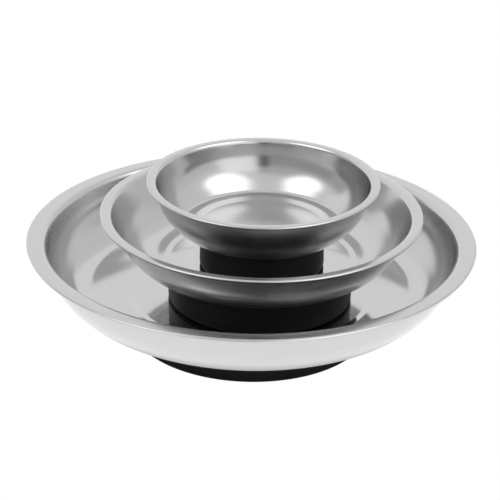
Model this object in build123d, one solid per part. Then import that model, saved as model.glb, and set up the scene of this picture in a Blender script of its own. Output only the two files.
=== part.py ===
"""Parts sorting tray: three round magnetic trays of falling size, stacked inside one another.

Each tray is one deep-drawn stainless dish on a rubber-booted ring magnet. Millimetres, +Z up,
origin at the centre of the large tray's underside, on the bench.
"""
import math
import os
from dataclasses import dataclass

from build123d import *

# ---- sheet and dish features shared by the three trays
SHEET = 0.6                 # stainless sheet thickness
FLOOR_Z = 14.1              # dish floor above the tray's underside
PAD_DROP = 0.5              # the middle of the floor is pressed down by this much
PAD_Z = FLOOR_Z - PAD_DROP
STEP_BEND = 0.9             # bend radius at the foot and the head of the pressed step
RIM_DROOP = 0.05            # fall of the rim from its shoulder to where its edge turns down
EDGE_WIDTH = 0.8            # width of the slightly turned-down edge of the rim
EDGE_DROOP = 0.25            # fall of that edge
EDGE_BEND = 1.5             # bend radius between rim and edge

# ---- magnet base shared by the three trays
BASE_TOP = PAD_Z - SHEET    # underside of the pressed pad, where the base is clamped
BOOT_FLOOR = 1.8
BOOT_WALL = 1.5
BOOT_DRAFT = 0.3            # the boot is this much narrower at its top edge
BOOT_FOOT_ROUND = 1.6
BOOT_TOP_ROUND = 0.5
BOOT_HOLLOW = 0.4           # depth of the shallow hollow under the boot
BOOT_HOLLOW_SHARE = 0.62    # its radius as a share of the boot's
RETAINER_T = 1.2
RETAINER_CLEAR = 0.5        # gap between the raised cup and the magnet's bore
RETAINER_TOP = 8.6          # top of the raised cup
STUD_R = 2.5                # M5 weld stud
STUD_HEAD_R = 4.5
STUD_HEAD_T = 0.8
STUD_END_Z = 2.4
STUD_END_CHAMFER = 0.5
HOLE_R = STUD_R + 0.15
WASHER_R = 5.0
WASHER_T = 1.0
NUT_FLATS = 8.0
NUT_H = 4.0
NUT_CHAMFER = 0.6

MAGNET_CHAMFER = 0.4
FIT_GAP = 0.2               # play around the magnet inside the boot


@dataclass
class Tray:
    """Sizes of one tray; the radii are measured on the dish's upper face."""

    name: str
    centre: tuple           # x, y of the tray's axis
    level: int              # how many trays it stands on
    rim_r: float
    height: float
    pad_r: float            # foot of the pressed step
    step_r: float           # head of the pressed step
    bend_at: tuple          # r and bend radius where the floor turns up
    waist_at: tuple         # r, z and bend radius where the wall steepens
    shoulder_at: tuple      # r and bend radius where the wall meets the rim
    boot_r: float
    bore_r: float           # bore of the ring magnet


LARGE = Tray("large", (0.0, 0.0), 0, 75.0, 33.9, 39.8, 42.1,
             (58.15, 11.4), (67.75, 23.3, 17.4), (68.7, 2.4), 41.2, 16.0)
MEDIUM = Tray("medium", (3.1, -3.7), 1, 53.4, 31.1, 30.3, 32.1,
              (39.1, 12.0), (45.5, 21.4, 15.0), (49.95, 1.8), 30.9, 14.0)
SMALL = Tray("small", (3.5, -7.2), 2, 38.15, 29.9, 20.6, 23.2,
             (26.3, 3.0), (33.0, 19.8, 16.0), (35.0, 1.5), 20.7, 10.0)


def turned(points, radii=None):
    """Solid of revolution about Z from a closed outline of (r, z) points."""
    outline = Polyline(*points, close=True)
    if radii:
        outline = FilletPolyline(*points, radius=radii, close=True)
    return revolve(Plane.XZ * make_face(outline), Axis.Z)


def underside(points, radii):
    """The sheet's lower outline: corners moved down by one thickness, and their bend radii."""
    corners = [Vector(*p) for p in points]
    along = [(b - a).normalized() for a, b in zip(corners, corners[1:])]
    down = [Vector(d.Y, -d.X) for d in along]
    moved = [corners[0] + down[0] * SHEET]
    bends = []
    for i, radius in enumerate(radii):
        mitre = (down[i] + down[i + 1]).normalized()
        moved.append(corners[i + 1] + mitre * (SHEET / mitre.dot(down[i])))
        bends.append(radius + math.copysign(SHEET, along[i].cross(along[i + 1]).Z))
    moved.append(corners[-1] + down[-1] * SHEET)
    return moved, bends


def dish(tray):
    """Deep-drawn dish: pressed pad, floor, curved wall, shoulder and a rim with a drooping edge."""
    bend_r, bend = tray.bend_at
    waist_r, waist_z, waist = tray.waist_at
    shoulder_r, shoulder = tray.shoulder_at
    points = [
        (0, PAD_Z),
        (tray.pad_r, PAD_Z),
        (tray.step_r, FLOOR_Z),
        (bend_r, FLOOR_Z),
        (waist_r, waist_z),
        (shoulder_r, tray.height),
        (tray.rim_r - EDGE_WIDTH, tray.height - RIM_DROOP),
        (tray.rim_r, tray.height - RIM_DROOP - EDGE_DROOP),
    ]
    radii = [STEP_BEND, STEP_BEND, bend, waist, shoulder, EDGE_BEND]
    upper = FilletPolyline(*points, radius=radii)
    corners, bends = underside(points, radii)
    under = FilletPolyline(*corners, radius=bends)
    section = make_face(upper.edges() + under.edges() + [
        Line(upper @ 0, under @ 0),
        Line(upper @ 1, under @ 1),
    ])
    return revolve(Plane.XZ * section, Axis.Z)


def boot(tray):
    """Moulded rubber cover of the magnet: rounded foot, slight draft, shallow hollow underneath."""
    inner_r = tray.boot_r - BOOT_DRAFT - BOOT_WALL
    hollow_r = tray.boot_r * BOOT_HOLLOW_SHARE
    points = [
        (0, BOOT_HOLLOW),
        (hollow_r, BOOT_HOLLOW),
        (hollow_r + BOOT_HOLLOW, 0),
        (tray.boot_r, 0),
        (tray.boot_r - BOOT_DRAFT, BASE_TOP),
        (inner_r, BASE_TOP),
        (inner_r, BOOT_FLOOR),
        (0, BOOT_FLOOR),
    ]
    return turned(points, [0, 0, 0, BOOT_FOOT_ROUND, BOOT_TOP_ROUND, 0, 0, 0])


def magnet_r(tray):
    """Outer radius of the magnet and of the plate under it."""
    return tray.boot_r - BOOT_DRAFT - BOOT_WALL - FIT_GAP


def magnet(tray):
    """Ferrite ring magnet between the dish and the retainer plate."""
    low = BOOT_FLOOR + RETAINER_T
    outer = magnet_r(tray)
    body = turned([(tray.bore_r, low), (outer, low), (outer, BASE_TOP), (tray.bore_r, BASE_TOP)])
    return chamfer(body.edges().filter_by(GeomType.CIRCLE), MAGNET_CHAMFER)


def retainer(tray):
    """Pressed steel plate under the magnet, with a raised cup that the nut pulls on."""
    cup = tray.bore_r - RETAINER_CLEAR
    return turned([
        (HOLE_R, RETAINER_TOP),
        (cup, RETAINER_TOP),
        (cup, BOOT_FLOOR + RETAINER_T),
        (magnet_r(tray), BOOT_FLOOR + RETAINER_T),
        (magnet_r(tray), BOOT_FLOOR),
        (cup - RETAINER_T, BOOT_FLOOR),
        (cup - RETAINER_T, RETAINER_TOP - RETAINER_T),
        (HOLE_R, RETAINER_TOP - RETAINER_T),
    ])


def stud():
    """Flanged stud welded to the underside of the pad."""
    return turned([
        (0, BASE_TOP),
        (STUD_HEAD_R, BASE_TOP),
        (STUD_HEAD_R, BASE_TOP - STUD_HEAD_T),
        (STUD_R, BASE_TOP - STUD_HEAD_T),
        (STUD_R, STUD_END_Z + STUD_END_CHAMFER),
        (STUD_R - STUD_END_CHAMFER, STUD_END_Z),
        (0, STUD_END_Z),
    ])


def washer():
    """Plain washer under the nut."""
    top = RETAINER_TOP - RETAINER_T
    return turned([(HOLE_R, top), (WASHER_R, top), (WASHER_R, top - WASHER_T), (HOLE_R, top - WASHER_T)])


def nut():
    """Hexagon nut on the stud, its corners turned off at both faces."""
    top = RETAINER_TOP - RETAINER_T - WASHER_T
    hexagon = RegularPolygon(NUT_FLATS / 2, 6, major_radius=False) - Circle(STUD_R)
    body = Pos(0, 0, top - NUT_H) * extrude(hexagon, NUT_H)
    corner_r = NUT_FLATS / 2 + NUT_CHAMFER
    barrel = turned([
        (0, top),
        (NUT_FLATS / 2, top),
        (corner_r, top - NUT_CHAMFER / 2),
        (corner_r, top - NUT_H + NUT_CHAMFER / 2),
        (NUT_FLATS / 2, top - NUT_H),
        (0, top - NUT_H),
    ])
    return body & barrel


def pieces(tray):
    """Every physical piece of one tray, in the tray's own frame."""
    return {
        "dish": dish(tray),
        "boot": boot(tray),
        "magnet": magnet(tray),
        "retainer": retainer(tray),
        "stud": stud(),
        "washer": washer(),
        "nut": nut(),
    }


def main():
    """Place every piece of the three trays in the shared frame and write it."""
    os.makedirs("parts", exist_ok=True)
    for tray in (LARGE, MEDIUM, SMALL):
        seat = Pos(*tray.centre, tray.level * PAD_Z)
        for name, solid in pieces(tray).items():
            export_step(seat * solid, f"parts/{tray.name}_{name}.step")


main()
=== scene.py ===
"""Looks of the parts sorting tray: three polished magnetic dishes standing in one another."""

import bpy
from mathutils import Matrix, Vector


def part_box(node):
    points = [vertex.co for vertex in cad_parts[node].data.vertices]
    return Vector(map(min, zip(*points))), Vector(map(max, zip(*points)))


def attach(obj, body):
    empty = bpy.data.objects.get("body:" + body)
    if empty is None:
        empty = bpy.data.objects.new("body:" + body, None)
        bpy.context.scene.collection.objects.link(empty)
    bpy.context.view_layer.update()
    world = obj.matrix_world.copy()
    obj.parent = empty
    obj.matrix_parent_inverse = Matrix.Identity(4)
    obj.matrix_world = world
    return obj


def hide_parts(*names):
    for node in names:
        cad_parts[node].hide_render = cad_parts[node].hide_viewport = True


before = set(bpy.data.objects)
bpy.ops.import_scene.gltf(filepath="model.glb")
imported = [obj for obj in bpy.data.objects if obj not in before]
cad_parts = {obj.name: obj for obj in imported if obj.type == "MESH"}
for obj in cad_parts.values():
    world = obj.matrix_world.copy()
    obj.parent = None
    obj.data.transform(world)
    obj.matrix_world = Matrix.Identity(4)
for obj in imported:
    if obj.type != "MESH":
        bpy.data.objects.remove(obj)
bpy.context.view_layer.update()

import math

import bpy
from mathutils import Matrix, Vector, noise

MM = 0.001
TURN = 2 * math.pi

# ---------------------------------------------------------------- sizes, in mm, as in the CAD model
SHEET = 0.6
FLOOR_Z = 14.1
PAD_Z = 13.6
STEP_BEND = 0.9
RIM_DROOP = 0.05
EDGE_WIDTH = 0.8
EDGE_DROOP = 0.25
EDGE_BEND = 1.5
BOOT_DRAFT = 0.3
BOOT_WALL = 1.5
BOOT_FLOOR = 1.8
BOOT_HOLLOW = 0.4
BOOT_HOLLOW_SHARE = 0.62

TRAYS = {
    "large": {"rim": 75.0, "height": 33.9, "pad": 39.8, "step": 42.1, "bend": (58.15, 11.4),
              "waist": (67.75, 23.3, 17.4), "shoulder": (68.7, 2.4), "boot": 41.2, "seed": 3.0},
    "medium": {"rim": 53.4, "height": 31.1, "pad": 30.3, "step": 32.1, "bend": (39.1, 12.0),
               "waist": (45.5, 21.4, 15.0), "shoulder": (49.95, 1.8), "boot": 30.9, "seed": 11.0},
    "small": {"rim": 38.15, "height": 29.9, "pad": 20.6, "step": 23.2, "bend": (26.3, 3.0),
              "waist": (33.0, 19.8, 16.0), "shoulder": (35.0, 1.5), "boot": 20.7, "seed": 23.0},
}

# ---------------------------------------------------------------- light and camera
ROOM_LEVEL = 0.72           # brightness of the room where no panel covers it
ROOM_GAIN = 1.19            # light on the object, against the white the camera sees
CAMERA_PITCH = 25.52        # degrees down
CAMERA_ROLL = 1.11          # degrees
CAMERA_REACH = 0.5725       # metres from the aim point
CAMERA_AIM = (0, 0, 0.025)
LENS = 122.03
LENS_SHIFT = (-0.0023, 0.0176)
SATIN_FROM = 0.0144         # height in metres above a tray's underside where the walls turn satin
SATIN_FULL = 0.0175

# ---------------------------------------------------------------- outlines


def rounded(points, radii, arc_deg=3.0, run=1.2):
    """Points along an open (r, z) polyline whose inner corners are rounded."""
    out = [Vector(points[0])]

    def straight(to):
        start = out[-1].copy()
        count = max(1, int((to - start).length / run))
        out.extend(start.lerp(to, j / count) for j in range(1, count + 1))

    for i in range(1, len(points) - 1):
        corner = Vector(points[i])
        back = (Vector(points[i - 1]) - corner).normalized()
        ahead = (Vector(points[i + 1]) - corner).normalized()
        turn = math.pi - back.angle(ahead)
        radius = radii[i - 1]
        reach = radius * math.tan(turn / 2)
        centre = corner + (back + ahead).normalized() * (radius / math.cos(turn / 2))
        first = corner + back * reach - centre
        straight(centre + first)
        sign = 1 if first.y * back.x - first.x * back.y > 0 else -1
        steps = max(3, int(math.degrees(turn) / arc_deg))
        for j in range(1, steps + 1):
            out.append(centre + Matrix.Rotation(sign * turn * j / steps, 2) @ first)
    straight(Vector(points[-1]))
    return out


def offset(line, distance):
    """The same line moved sideways, to the right of its direction."""
    out = []
    for i, point in enumerate(line):
        along = (line[min(i + 1, len(line) - 1)] - line[max(i - 1, 0)]).normalized()
        out.append(point + Vector((along.y, -along.x)) * distance)
    return out


def dish_outline(tray):
    """Section of the dish in two runs: upper face outwards, then cut edge and underside back to the axis."""
    bend_r, bend = tray["bend"]
    waist_r, waist_z, waist = tray["waist"]
    shoulder_r, shoulder = tray["shoulder"]
    height = tray["height"]
    upper = rounded(
        [(0, PAD_Z), (tray["pad"], PAD_Z), (tray["step"], FLOOR_Z), (bend_r, FLOOR_Z),
         (waist_r, waist_z), (shoulder_r, height), (tray["rim"] - EDGE_WIDTH, height - RIM_DROOP),
         (tray["rim"], height - RIM_DROOP - EDGE_DROOP)],
        [STEP_BEND, STEP_BEND, bend, waist, shoulder, EDGE_BEND])
    under = offset(upper, SHEET)
    under[0] = Vector((0, PAD_Z - SHEET))
    edge = [upper[-1].lerp(under[-1], share) for share in (0.25, 0.5, 0.75)]
    return upper, edge + under[::-1]


def boot_outline(tray):
    """Closed section of the rubber boot, from its hollow underneath round to its inside floor."""
    r = tray["boot"]
    top_z = PAD_Z - SHEET
    hollow = r * BOOT_HOLLOW_SHARE
    inner = r - BOOT_DRAFT - BOOT_WALL
    return rounded(
        [(0, BOOT_HOLLOW), (hollow, BOOT_HOLLOW), (hollow + BOOT_HOLLOW, 0), (r, 0),
         (r - BOOT_DRAFT, top_z), (inner, top_z), (inner, BOOT_FLOOR), (0, BOOT_FLOOR)],
        [0.2, 0.2, 1.6, 0.5, 0.1, 0.2])


def lathe(name, outline, centre, base_z, segments=256, shift=None, split=None):
    """Mesh turned about a tray's axis, its object on that axis; rows past split take the second material."""
    rows = []
    verts = []
    faces = []
    for r, z in outline:
        if r < 1e-6:
            rows.append([len(verts)] * segments)
            verts.append((0, 0, z * MM))
            continue
        row = []
        for k in range(segments):
            angle = TURN * k / segments
            dr, dz = shift(angle, r, z) if shift else (0, 0)
            row.append(len(verts))
            verts.append(((r + dr) * math.cos(angle) * MM, (r + dr) * math.sin(angle) * MM, (z + dz) * MM))
        rows.append(row)
    for low, high in zip(rows, rows[1:]):
        for k in range(segments):
            ring = [low[k], low[(k + 1) % segments], high[(k + 1) % segments], high[k]]
            face = list(dict.fromkeys(ring))
            if len(face) > 2:
                faces.append(face)
    mesh = bpy.data.meshes.new(name)
    mesh.from_pydata(verts, [], faces)
    mesh.update()
    for poly in mesh.polygons:
        poly.use_smooth = True
        if split and poly.vertices[0] >= rows[split][0]:
            poly.material_index = 1
    obj = bpy.data.objects.new(name, mesh)
    obj.location = (centre[0], centre[1], base_z)
    bpy.context.scene.collection.objects.link(obj)
    return obj


# ---------------------------------------------------------------- node helpers


def nodes_of(owner):
    owner.use_nodes = True
    owner.node_tree.nodes.clear()
    return owner.node_tree


def put(tree, kind, inputs=None, **settings):
    """Adds a node, sets its properties and plugs or sets its inputs."""
    node = tree.nodes.new(kind)
    for key, value in settings.items():
        setattr(node, key, value)
    for key, value in (inputs or {}).items():
        if isinstance(value, bpy.types.NodeSocket):
            tree.links.new(value, node.inputs[key])
        else:
            node.inputs[key].default_value = value
    return node


def calc(tree, operation, a, b=0.0):
    return put(tree, "ShaderNodeMath", {0: a, 1: b}, operation=operation).outputs[0]


def spread(tree, value, low, high, to_low=0.0, to_high=1.0, smooth=False):
    kind = "SMOOTHSTEP" if smooth else "LINEAR"
    return put(tree, "ShaderNodeMapRange",
               {"Value": value, "From Min": low, "From Max": high, "To Min": to_low, "To Max": to_high},
               interpolation_type=kind).outputs["Result"]


def noise_at(tree, vector, scale, detail=3.0, rough=0.5):
    return put(tree, "ShaderNodeTexNoise",
               {"Vector": vector, "Scale": scale, "Detail": detail, "Roughness": rough}).outputs["Fac"]


def ring_space(tree):
    """Object coordinates, and the same unrolled round the axis: radius, a slow angle term, height."""
    coord = put(tree, "ShaderNodeTexCoord").outputs["Object"]
    axes = put(tree, "ShaderNodeSeparateXYZ", {0: coord}).outputs
    radius = calc(tree, "SQRT", calc(tree, "ADD", calc(tree, "MULTIPLY", axes[0], axes[0]),
                                     calc(tree, "MULTIPLY", axes[1], axes[1])))
    angle = calc(tree, "ARCTAN2", axes[1], axes[0])
    wrap = calc(tree, "COSINE", angle)
    rolled = put(tree, "ShaderNodeCombineXYZ", {0: radius, 1: calc(tree, "MULTIPLY", wrap, 0.0012),
                                                2: axes[2]}).outputs[0]
    return coord, rolled, radius


def polished_steel(name, low, high, wall=0.0):
    """Polished drawn stainless: faint lathe lines round the dish, cloudy polish, fine scratches.

    Above the floor the roughness rises by wall, because the drawn walls are more satin.
    """
    mat = bpy.data.materials.new(name)
    tree = nodes_of(mat)
    coord, rolled, _ = ring_space(tree)
    height = put(tree, "ShaderNodeSeparateXYZ", {0: coord}).outputs[2]
    lines = noise_at(tree, rolled, 5200.0, 2.0, 0.6)
    cloud = noise_at(tree, coord, 55.0, 3.0, 0.55)
    smear = noise_at(tree, rolled, 420.0, 4.0, 0.6)
    rough = calc(tree, "ADD", spread(tree, cloud, 0.3, 0.7, low, high),
                 spread(tree, smear, 0.35, 0.75, 0.0, 0.02))
    rough = calc(tree, "ADD", rough, spread(tree, height, SATIN_FROM, SATIN_FULL, 0.0, wall, smooth=True))
    tone = put(tree, "ShaderNodeValToRGB", {0: smear})
    tone.color_ramp.elements[0].color = (0.550, 0.551, 0.553, 1)
    tone.color_ramp.elements[1].color = (0.590, 0.590, 0.591, 1)
    bump = put(tree, "ShaderNodeBump", {"Strength": 0.015, "Distance": 0.00002, "Height": lines})
    shader = put(tree, "ShaderNodeBsdfPrincipled",
                 {"Base Color": tone.outputs[0], "Metallic": 1.0, "Roughness": rough,
                  "Normal": bump.outputs[0]})
    put(tree, "ShaderNodeOutputMaterial", {"Surface": shader.outputs[0]})
    return mat


def boot_rubber():
    """Moulded black rubber: fine grain, slightly shiny, a little uneven."""
    mat = bpy.data.materials.new("moulded_rubber")
    tree = nodes_of(mat)
    coord, rolled, _ = ring_space(tree)
    grain = noise_at(tree, coord, 2600.0, 3.0, 0.6)
    patch = noise_at(tree, coord, 90.0, 3.0, 0.5)
    tone = put(tree, "ShaderNodeValToRGB", {0: patch})
    tone.color_ramp.elements[0].color = (0.004, 0.004, 0.0045, 1)
    tone.color_ramp.elements[1].color = (0.008, 0.008, 0.0085, 1)
    bump = put(tree, "ShaderNodeBump", {"Strength": 0.25, "Distance": 0.00005, "Height": grain})
    shader = put(tree, "ShaderNodeBsdfPrincipled",
                 {"Base Color": tone.outputs[0], "Roughness": spread(tree, patch, 0.3, 0.7, 0.38, 0.5),
                  "Specular IOR Level": 0.12, "Normal": bump.outputs[0]})
    put(tree, "ShaderNodeOutputMaterial", {"Surface": shader.outputs[0]})
    return mat


def ferrite():
    """Sintered ferrite: dark grey, granular, matt."""
    mat = bpy.data.materials.new("sintered_ferrite")
    tree = nodes_of(mat)
    coord, _, _ = ring_space(tree)
    grain = noise_at(tree, coord, 1400.0, 5.0, 0.7)
    tone = put(tree, "ShaderNodeValToRGB", {0: grain})
    tone.color_ramp.elements[0].color = (0.035, 0.035, 0.038, 1)
    tone.color_ramp.elements[1].color = (0.075, 0.074, 0.075, 1)
    bump = put(tree, "ShaderNodeBump", {"Strength": 0.4, "Distance": 0.0001, "Height": grain})
    shader = put(tree, "ShaderNodeBsdfPrincipled",
                 {"Base Color": tone.outputs[0], "Roughness": spread(tree, grain, 0.3, 0.7, 0.55, 0.75),
                  "Normal": bump.outputs[0]})
    put(tree, "ShaderNodeOutputMaterial", {"Surface": shader.outputs[0]})
    return mat


def zinc_steel():
    """Bright zinc plate: grey metal with a slightly cloudy, faintly blue passivation."""
    mat = bpy.data.materials.new("zinc_plated_steel")
    tree = nodes_of(mat)
    coord, rolled, _ = ring_space(tree)
    cloud = noise_at(tree, coord, 240.0, 4.0, 0.6)
    lines = noise_at(tree, rolled, 3000.0, 2.0, 0.5)
    tone = put(tree, "ShaderNodeValToRGB", {0: cloud})
    tone.color_ramp.elements[0].color = (0.47, 0.49, 0.52, 1)
    tone.color_ramp.elements[1].color = (0.63, 0.63, 0.62, 1)
    bump = put(tree, "ShaderNodeBump", {"Strength": 0.2, "Distance": 0.00004, "Height": lines})
    shader = put(tree, "ShaderNodeBsdfPrincipled",
                 {"Base Color": tone.outputs[0], "Metallic": 1.0,
                  "Roughness": spread(tree, cloud, 0.3, 0.7, 0.28, 0.42), "Normal": bump.outputs[0]})
    put(tree, "ShaderNodeOutputMaterial", {"Surface": shader.outputs[0]})
    return mat


# ---------------------------------------------------------------- the trays


def hand_drawn(seed, rim_r):
    """Slight unevenness of a pressed dish; it dies away at the rim's edge and on the axis."""
    def shift(angle, r, z):
        edge = min(1.0, max(0.0, (0.9 * rim_r - r) / (0.2 * rim_r))) * min(1.0, r / (0.3 * rim_r))
        spot = Vector((math.cos(angle) * 0.9, math.sin(angle) * 0.9, seed + z * 0.03))
        return 0.035 * edge * noise.noise(spot), 0.045 * edge * noise.noise(spot + Vector((7.1, 0, 0)))
    return shift


INNER_STEEL = polished_steel("polished_stainless", 0.07, 0.11, wall=0.10)
SATIN_STEEL = polished_steel("satin_stainless", 0.15, 0.20)
OUTER_STEEL = polished_steel("buffed_stainless", 0.19, 0.25)
RUBBER = boot_rubber()
FERRITE = ferrite()
ZINC = zinc_steel()
INSIDE = {"magnet": FERRITE, "retainer": ZINC, "stud": ZINC, "washer": ZINC, "nut": ZINC}

for name, tray in TRAYS.items():
    low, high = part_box(f"{name}_dish")
    centre = ((low.x + high.x) / 2, (low.y + high.y) / 2)
    base_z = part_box(f"{name}_boot")[0].z
    body = f"{name}_tray"
    upper, under = dish_outline(tray)
    dish = lathe(f"{name}_dish_shell", upper + under, centre, base_z,
                 shift=hand_drawn(tray["seed"], tray["rim"]), split=len(upper))
    dish.data.materials.append(SATIN_STEEL if name == "small" else INNER_STEEL)
    dish.data.materials.append(OUTER_STEEL)
    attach(dish, body)
    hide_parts(f"{name}_dish")
    boot = lathe(f"{name}_boot_moulding", boot_outline(tray), centre, base_z)
    boot.data.materials.append(RUBBER)
    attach(boot, body)
    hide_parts(f"{name}_boot")
    for part, material in INSIDE.items():
        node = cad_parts[f"{name}_{part}"]
        node.data.materials.clear()
        node.data.materials.append(material)

# ---------------------------------------------------------------- floor, light and camera


def pale_floor():
    """White sheet, white to the camera; in reflections it glows with a painted contact shadow, dimmer round
    the tray's base; clear from below.
    """
    mat = bpy.data.materials.new("pale_floor")
    tree = nodes_of(mat)
    _, _, radius = ring_space(tree)
    # painted contact shadow: the floor's glow falls to 0.3 near the axis and rises to full between 40 and 62
    # mm out; only reflections see it
    painted_shadow_strength = spread(tree, radius, 0.040, 0.062, 0.3, ROOM_GAIN, smooth=True)
    glow_with_painted_shadow = put(tree, "ShaderNodeEmission", {"Color": (1, 1, 1, 1), "Strength": painted_shadow_strength})
    white = put(tree, "ShaderNodeEmission", {"Color": (1, 1, 1, 1), "Strength": 1.0})
    seen = put(tree, "ShaderNodeLightPath").outputs["Is Camera Ray"]
    sheet = put(tree, "ShaderNodeMixShader", {0: seen, 1: glow_with_painted_shadow.outputs[0], 2: white.outputs[0]})
    clear = put(tree, "ShaderNodeBsdfTransparent")
    facing = put(tree, "ShaderNodeNewGeometry").outputs["Backfacing"]
    mixed = put(tree, "ShaderNodeMixShader", {0: facing, 1: sheet.outputs[0], 2: clear.outputs[0]})
    put(tree, "ShaderNodeOutputMaterial", {"Surface": mixed.outputs[0]})
    return mat


def floor(front=-0.3, side=3.0, back=6.0):
    mesh = bpy.data.meshes.new("floor")
    corners = [(-side, front, 0), (side, front, 0), (side, back, 0), (-side, back, 0)]
    mesh.from_pydata(corners, [], [(0, 1, 2, 3)])
    mesh.materials.append(pale_floor())
    obj = bpy.data.objects.new("floor", mesh)
    bpy.context.scene.collection.objects.link(obj)


def studio():
    """White surroundings for the camera; for light and reflections a studio with two side softboxes."""
    world = bpy.data.worlds.new("studio")
    bpy.context.scene.world = world
    tree = nodes_of(world)
    direction = put(tree, "ShaderNodeTexCoord").outputs["Generated"]
    x, y, z = put(tree, "ShaderNodeSeparateXYZ", {0: direction}).outputs
    azimuth = calc(tree, "MULTIPLY", calc(tree, "ARCTAN2", x, y), 360 / TURN)
    height = calc(tree, "MULTIPLY", calc(tree, "ARCSINE", z), 360 / TURN)

    def band(value, low, high, soft):
        up = spread(tree, value, low - soft, low + soft, smooth=True)
        down = spread(tree, value, high - soft, high + soft, 1.0, 0.0, smooth=True)
        return calc(tree, "MULTIPLY", up, down)

    def panel(level, az, el, soft=4.0):
        """Brightness level inside azimuth and elevation limits, in degrees."""
        across = band(azimuth, az[0], az[1], soft)
        upwards = band(height, el[0], el[1], soft)
        return calc(tree, "MULTIPLY", across, upwards), level

    def softbox(level, az, el, radius, soft=5):
        """Round light of an angular radius, seen in one direction, in degrees."""
        az, el = math.radians(az), math.radians(el)
        toward = (math.sin(az) * math.cos(el), math.cos(az) * math.cos(el), math.sin(el))
        facing = put(tree, "ShaderNodeVectorMath", {0: direction, 1: toward}, operation="DOT_PRODUCT")
        outer, inner = (math.cos(math.radians(radius + side)) for side in (soft, -soft))
        return spread(tree, facing.outputs["Value"], outer, inner, smooth=True), level

    # painted one over the other, the last on top
    room = [
        panel(0.85, (-66, 28), (-100, 46)),
        panel(0.64, (64, 125), (-100, 24), 7),
        panel(1.05, (128, 172), (3, 43), 7),
        panel(0.52, (-176, -126), (26, 50), 8),
        panel(0.36, (-176, -90), (-100, 30), 7),
        panel(0.44, (-92, -66), (-100, 30), 6),
        panel(0.40, (175, 200), (-100, 48), 4),
        panel(0.40, (-200, -175), (-100, 48), 4),
        panel(0.07, (174, 200), (-100, 33), 4),
        panel(0.07, (-200, -174), (-100, 33), 4),
        panel(0.10, (146, 200), (-100, 5), 4),
        panel(0.10, (-200, -146), (-100, 5), 4),
        softbox(1.80, 112, 56, 20),
        softbox(1.80, -108, 54, 17),
    ]
    value = ROOM_LEVEL
    for mask, level in room:
        value = put(tree, "ShaderNodeMix", {0: mask, 2: value, 3: level}, data_type="FLOAT").outputs[0]
    grey = put(tree, "ShaderNodeCombineXYZ", {0: value, 1: value, 2: value}).outputs[0]
    surround = put(tree, "ShaderNodeBackground", {"Color": grey, "Strength": ROOM_GAIN})
    white = put(tree, "ShaderNodeBackground", {"Color": (1, 1, 1, 1), "Strength": 1.0})
    seen = put(tree, "ShaderNodeLightPath").outputs["Is Camera Ray"]
    both = put(tree, "ShaderNodeMixShader", {0: seen, 1: surround.outputs[0], 2: white.outputs[0]})
    put(tree, "ShaderNodeOutputWorld", {"Surface": both.outputs[0]})


def camera():
    """Long lens from the front, looking down at the stack."""
    pitch = math.radians(CAMERA_PITCH)
    data = bpy.data.cameras.new("camera")
    data.sensor_width = 36.0
    data.lens = LENS
    data.shift_x, data.shift_y = LENS_SHIFT
    data.clip_start = 0.01
    obj = bpy.data.objects.new("camera", data)
    where = Vector(CAMERA_AIM) + CAMERA_REACH * Vector((0, -math.cos(pitch), math.sin(pitch)))
    roll = math.radians(CAMERA_ROLL)
    turn = Matrix.Rotation(math.pi / 2 - pitch, 4, "X") @ Matrix.Rotation(roll, 4, "Z")
    obj.matrix_world = Matrix.Translation(where) @ turn
    bpy.context.scene.collection.objects.link(obj)
    bpy.context.scene.camera = obj


floor()
studio()
camera()
bpy.context.scene.view_settings.view_transform = "Standard"
